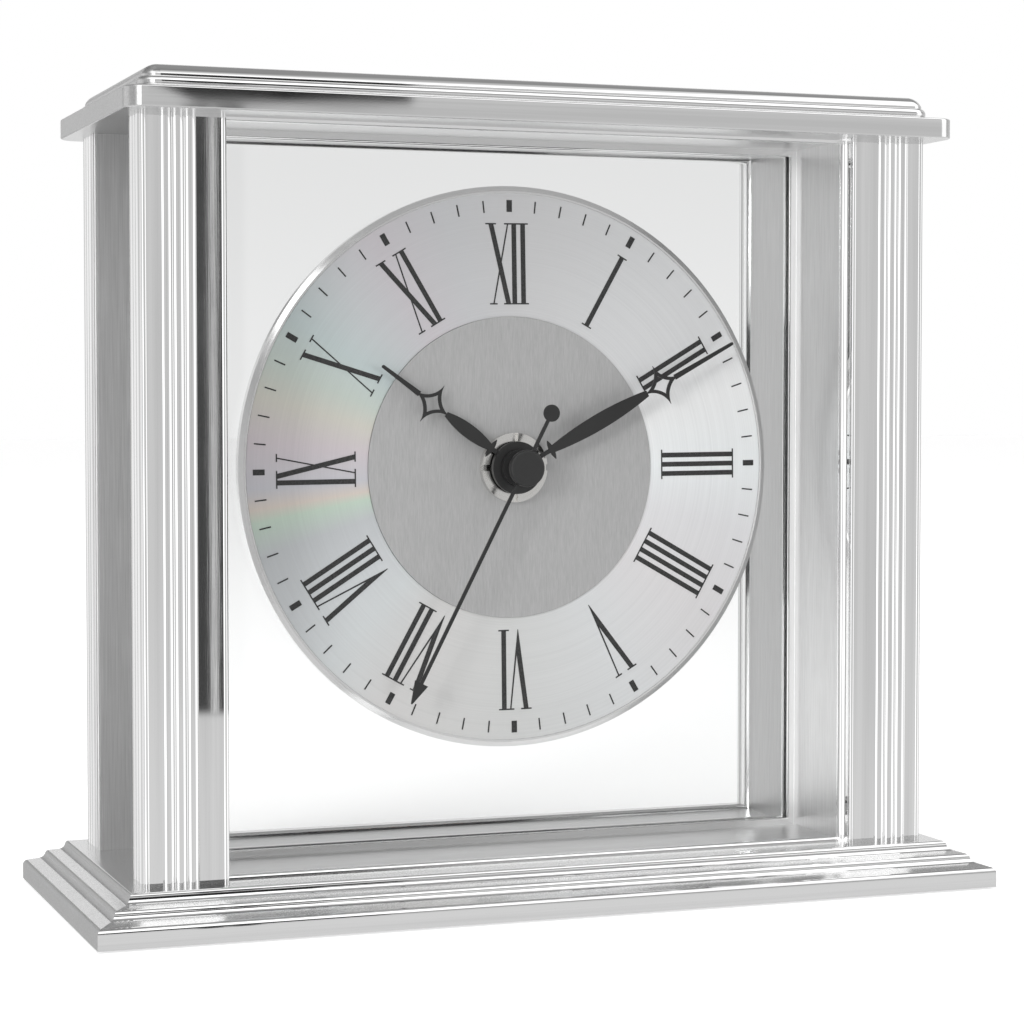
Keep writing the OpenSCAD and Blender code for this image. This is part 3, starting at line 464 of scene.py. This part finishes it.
# Plain materials, as [dark and light colour, scale and depth of the grain, roughness from and to, metallic]
MOTTLED = {
    "screw_steel": [(0.42, 0.42, 0.44), (0.62, 0.62, 0.63), 1800.0, 0.006, (0.22, 0.38), 1.0],
    "soft_washer": [(0.05, 0.05, 0.05), (0.09, 0.09, 0.09), 1500.0, 0.03, (0.8, 0.95), 0.0],
    "rubber": [(0.012, 0.012, 0.012), (0.03, 0.03, 0.03), 1300.0, 0.02, (0.6, 0.8), 0.0],
    "case_plastic": [(0.012, 0.012, 0.013), (0.026, 0.026, 0.028), 3200.0, 0.02, (0.42, 0.58), 0.0],
    "plate_plastic": [(0.68, 0.68, 0.64), (0.80, 0.80, 0.77), 900.0, 0.006, (0.32, 0.45), 0.0],
    "wheel_plastic": [(0.70, 0.66, 0.55), (0.82, 0.79, 0.69), 900.0, 0.006, (0.30, 0.42), 0.0],
    "chip": [(0.006, 0.006, 0.006), (0.02, 0.02, 0.02), 700.0, 0.02, (0.2, 0.4), 0.0],
    "crystal_can": [(0.60, 0.60, 0.60), (0.80, 0.80, 0.79), 1500.0, 0.004, (0.15, 0.28), 1.0],
    "soft_iron": [(0.34, 0.34, 0.35), (0.52, 0.52, 0.52), 1400.0, 0.008, (0.3, 0.5), 1.0],
    "magnet": [(0.10, 0.10, 0.11), (0.20, 0.20, 0.21), 1600.0, 0.01, (0.3, 0.5), 0.9],
    "terminal_steel": [(0.55, 0.55, 0.55), (0.78, 0.78, 0.77), 1200.0, 0.005, (0.18, 0.34), 1.0],
}


def felt():
    """Pressed wool: short fibres in all directions."""
    f = Finish("felt", Roughness=0.95, Sheen_Weight=0.4)
    t = f.tree
    fibres = noise(t, stretched(t, f.place, (1.0, 2.4, 1.0), (0.0, 0.0, 0.6)), 2600.0, 4.0, 0.75)
    crossed = noise(t, stretched(t, f.place, (2.4, 1.0, 1.0), (0.0, 0.0, 0.3)), 2200.0, 4.0, 0.75)
    pile = maths(t, "MULTIPLY", maths(t, "ADD", fibres, crossed), 0.5)
    tips = remap(t, pile, 0.35, 0.65)
    f.feed("Base Color", blend(t, tips, (0.006, 0.020, 0.012, 1.0), (0.03, 0.07, 0.045, 1.0)))
    f.bump(pile, 0.12 * MM)
    return f.material


# Thickness of the coil's wire
WIRE = 0.12 * MM


def copper_wire():
    """Fine enamelled wire wound side by side, with painted shade in the grooves where the turns meet."""
    f = Finish("copper_wire", Metallic=0.85)
    t = f.tree
    wave = maths(t, "SINE", maths(t, "MULTIPLY", split(t, f.place)[0], math.pi / WIRE))
    turns_relief_and_shade = maths(t, "ABSOLUTE", wave)
    # The copper darkens where neighbouring turns meet: painted shade in the grooves, on the same wave as the
    # relief.
    f.feed("Base Color", blend(t, turns_relief_and_shade, (0.12, 0.02, 0.008, 1.0), (0.62, 0.22, 0.09, 1.0)))
    f.feed("Roughness", remap(t, noise(t, f.place, 900.0), 0.3, 0.7, 0.22, 0.36))
    f.bump(turns_relief_and_shade, 0.05 * MM)
    return f.material


def board():
    """Green lacquer over copper tracks."""
    f = Finish("board", Roughness=0.3, Coat_Weight=0.3)
    t = f.tree
    x, _, z = split(t, f.place)
    bricks = add(t, "ShaderNodeTexBrick", {"Vector": join(t, x, z), "Scale": 260.0, "Mortar Size": 0.06,
                                           "Color1": grey(0.0), "Color2": grey(0.0), "Mortar": grey(1.0)})
    tracks = bricks.outputs["Fac"]
    f.feed("Base Color", blend(t, tracks, (0.008, 0.085, 0.03, 1.0), (0.03, 0.19, 0.07, 1.0)))
    f.bump(tracks, 0.03 * MM)
    return f.material


# Bands of the battery's sleeve, from either end: the pale one's width, the dark line's middle and half width
PALE_BAND = 7.0 * MM
DARK_LINE = 7.4 * MM
DARK_LINE_HALF = 0.4 * MM


def battery_sleeve():
    """Plain printed sleeve: a warm body with a pale band and a thin dark line at each of its ends."""
    f = Finish("battery_sleeve", Metallic=0.3)
    t = f.tree
    x = split(t, f.place)[0]
    low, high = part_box("battery")
    from_end = maths(t, "MINIMUM", maths(t, "SUBTRACT", high.x, x), maths(t, "SUBTRACT", x, low.x))
    pale = maths(t, "LESS_THAN", from_end, PALE_BAND)
    off_line = maths(t, "ABSOLUTE", maths(t, "SUBTRACT", from_end, DARK_LINE))
    line = maths(t, "LESS_THAN", off_line, DARK_LINE_HALF)
    scuff = noise(t, f.place, 500.0, 2.0, 0.5)
    body = blend(t, remap(t, scuff, 0.3, 0.7), (0.60, 0.235, 0.04, 1.0), (0.64, 0.26, 0.045, 1.0))
    f.feed("Base Color", blend(t, line, blend(t, pale, body, grey(0.55)), grey(0.03)))
    f.feed("Roughness", remap(t, scuff, 0.3, 0.7, 0.22, 0.38))
    f.bump(scuff, 0.002 * MM)
    return f.material


# ---------------------------------------------------------------- finishes onto the pieces

# Finishes with a function of their own, which has the name of the slot
OWN_FINISHES = [column_metal, rail_metal, glass, dial_metal, ring_foil, disc_foil, ink, nut_plate, hand_black,
                felt, copper_wire, board, battery_sleeve]


def dress_frame():
    """Gives each carried-over node the finish of its slot, and returns the finishes."""
    made = {name: moulding(name, *values) for name, values in MOULDINGS.items()}
    made.update({make.__name__: make() for make in OWN_FINISHES})
    made.update({name: mottled(name, *values) for name, values in MOTTLED.items()})
    for piece in NODES.values():
        for slot in piece.material_slots:
            slot.material = made[slot.material.name]
    return made


# Moulded and rolled pieces have soft edges, in millimetres
SOFT_EDGES = {"battery": 0.6, "battery_terminals": 0.25, "movement_case": 0.3, "movement_cover": 0.3}
# Turn of the surface past which an edge is softened
SHARP = math.radians(40)


def soften_edges():
    """Rounds the sharp edges of the moulded and rolled nodes."""
    for name, width in SOFT_EDGES.items():
        edge = NODES[name].modifiers.new("soft_edge", "BEVEL")
        edge.width = width * MM
        edge.segments = 2
        edge.limit_method = "ANGLE"
        edge.angle_limit = SHARP


# ---------------------------------------------------------------- moulded marks on the cover

MARK_RING_R = 6.4 * MM
MARK_RING_HALF = 0.35 * MM
ARROW_R = 1.3 * MM
ARROW_T = 0.7 * MM
ARROW_OUT = 0.2 * MM
ARROW_EDGE = 0.12 * MM
ARROWS_AT = (60, 240)
QUARTER_TURN = math.radians(90)


def settle(piece, name, material):
    """Finishes a moulded mark: place in its mesh, smooth, on the case, in the plastic of the case."""
    bpy.ops.object.transform_apply(location=True, rotation=True, scale=True)
    bpy.ops.object.shade_smooth_by_angle(angle=math.radians(35))
    piece.name = name
    piece.data.materials.append(material)
    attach(piece, "case")


def cover_marks(material):
    """Raised ring round the setting knob, with two arrow heads that show which way it turns."""
    low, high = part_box("setting_knob")
    knob = (low + high) / 2
    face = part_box("movement_cover")[1].y
    bpy.ops.object.select_all(action="DESELECT")
    bpy.ops.mesh.primitive_torus_add(location=(knob.x, face, knob.z), rotation=(QUARTER_TURN, 0.0, 0.0),
                                     major_radius=MARK_RING_R, minor_radius=MARK_RING_HALF,
                                     major_segments=96, minor_segments=12)
    settle(bpy.context.object, "knob_ring", material)
    for number, angle in enumerate(ARROWS_AT):
        turn = math.radians(angle)
        place = (knob.x + MARK_RING_R * math.cos(turn), face + ARROW_OUT,
                 knob.z + MARK_RING_R * math.sin(turn))
        bpy.ops.object.select_all(action="DESELECT")
        bpy.ops.mesh.primitive_cylinder_add(vertices=3, radius=ARROW_R, depth=ARROW_T, location=place,
                                            rotation=(QUARTER_TURN, -turn, 0.0))
        piece = bpy.context.object
        edge = piece.modifiers.new("soft_edge", "BEVEL")
        edge.width = ARROW_EDGE
        edge.segments = 2
        bpy.ops.object.modifier_apply(modifier="soft_edge")
        settle(piece, "knob_arrow_%d" % (number + 1), material)


# ---------------------------------------------------------------- stage, light and camera

def floor():
    """Broad pale floor under the felt."""
    bpy.ops.object.select_all(action="DESELECT")
    bpy.ops.mesh.primitive_plane_add(size=12.0, location=(0.0, 0.0, 0.0))
    piece = bpy.context.object
    piece.name = "floor"
    f = Finish("floor_white", Roughness=0.9, Specular_IOR_Level=0.1)
    f.feed("Base Color", blend(f.tree, noise(f.tree, f.place, 3.0), grey(0.86), grey(0.87)))
    f.shader.inputs["Emission Color"].default_value = grey(1.0)
    seen = add(f.tree, "ShaderNodeLightPath").outputs["Is Camera Ray"]
    f.feed("Emission Strength", remap(f.tree, seen, 0.0, 1.0, 0.20, 0.36))
    piece.data.materials.append(f.material)
    piece.visible_glossy = False


# What the bright metal mirrors, as [bearing from, to, height from, to, soft edge, level, lean] in degrees.
# Bearing 0 is straight in front of the dial and grows to its right, and height 0 is level. Lean slants the
# left edge.
PANELS = [
    [-200.0, 200.0, -90.0, -6.0, 3.0, 0.66, 0.0],
    [-75.0, 95.0, 11.0, 30.0, 6.0, 0.34, 0.0],
    [-80.0, 100.0, 34.0, 64.0, 5.0, 1.4, 0.0],
    [-200.0, 200.0, 72.0, 95.0, 5.0, 0.26, 0.0],
    [100.0, 200.0, -90.0, 28.0, 6.0, 0.82, 0.0],
    [100.0, 200.0, -90.0, 3.0, 3.0, 0.89, 0.0],
    [100.0, 200.0, 34.0, 95.0, 6.0, 0.30, 0.0],
    [-200.0, -95.0, -90.0, 28.0, 6.0, 0.92, 0.0],
    [-200.0, -95.0, 34.0, 95.0, 6.0, 0.34, 0.0],
    [-155.0, -147.0, -30.0, 60.0, 1.5, 0.12, 0.0],
    [-179.0, -172.0, -30.0, 60.0, 1.5, 0.20, 0.0],
    [-48.0, -24.0, -20.0, 40.0, 2.0, 1.7, 0.0],
    [46.0, 78.0, -20.0, 40.0, 4.0, 1.3, 0.0],
    [13.4, 18.05, 6.5, 30.0, 0.14, 0.02, 2.3],
    [13.1, 14.4, -6.7, 6.4, 0.12, 0.06, 0.0],
    [13.66, 13.8, -6.7, 6.4, 0.06, 0.7, 0.0],
]
# Level of the surround where there is no panel
WALL = 0.60
# Heights between which a slanting edge leans, and the share of the lean at the upper one
LEAN_FROM, LEAN_TO = 5.5, 7.3
LEAN_BACK = 0.8


def window(tree, value, low, high, soft, lean=0.0):
    """1 between low and high, with soft edges; lean moves the low edge."""
    rise = remap(tree, maths(tree, "ADD", value, lean), low - soft, low + soft, smooth=True)
    fall = remap(tree, value, high - soft, high + soft, 1.0, 0.0, smooth=True)
    return maths(tree, "MULTIPLY", rise, fall)


def studio():
    """Pale surround with light and dark panels for the bright metal to mirror; the camera sees white."""
    world = bpy.data.worlds.new("studio")
    bpy.context.scene.world = world
    world.use_nodes = True
    t = world.node_tree
    x, y, z = split(t, add(t, "ShaderNodeTexCoord").outputs["Generated"])
    degrees = 180 / math.pi
    bearing = maths(t, "MULTIPLY", maths(t, "ARCTAN2", x, maths(t, "MULTIPLY", y, -1.0)), degrees)
    height = maths(t, "MULTIPLY", maths(t, "ARCSINE", z), degrees)
    level = WALL
    for left, right, low, high, soft, bright, slant in PANELS:
        lean = remap(t, height, LEAN_FROM, LEAN_TO, -slant, LEAN_BACK * slant)
        across = window(t, bearing, left, right, soft, lean)
        share = maths(t, "MULTIPLY", across, window(t, height, low, high, soft))
        level = remap(t, share, 0.0, 1.0, level, bright)
    seen = add(t, "ShaderNodeLightPath").outputs["Is Camera Ray"]
    back = t.nodes["Background"]
    t.links.new(remap(t, seen, 0.0, 1.0, level, 1.0), back.inputs["Strength"])
    back.inputs["Color"].default_value = grey(1.0)


def lamp(name, place, target, size, power):
    """Square softbox that looks at a target."""
    data = bpy.data.lights.new(name, "AREA")
    data.size = size
    data.energy = power
    piece = bpy.data.objects.new(name, data)
    bpy.context.collection.objects.link(piece)
    piece.location = place
    piece.visible_glossy = False
    aim = target - piece.location
    piece.rotation_euler = aim.to_track_quat("-Z", "Y").to_euler()


def lights():
    """A key lamp from the front left and a broad one above."""
    centre = (cad_low + cad_high) / 2
    lamp("key", (-1.05, -0.95, 0.35), centre, size=0.35, power=9.0)
    lamp("top", (-0.2, -0.1, 1.3), centre, size=0.9, power=6.0)


def camera():
    """Long lens from the front left, a little above the middle of the clock and looking slightly down."""
    data = bpy.data.cameras.new("camera")
    data.lens = 92.16
    data.sensor_width = 36.0
    piece = bpy.data.objects.new("camera", data)
    bpy.context.collection.objects.link(piece)
    piece.location = (-0.16155, -0.44226, 0.08677)
    piece.rotation_euler = (math.radians(87.645), 0.0, math.radians(-20.218))
    bpy.context.scene.camera = piece


camera()
floor()
studio()
lights()
finishes = dress_frame()
soften_edges()
cover_marks(finishes["case_plastic"])
bpy.context.scene.view_settings.view_transform = "Standard"
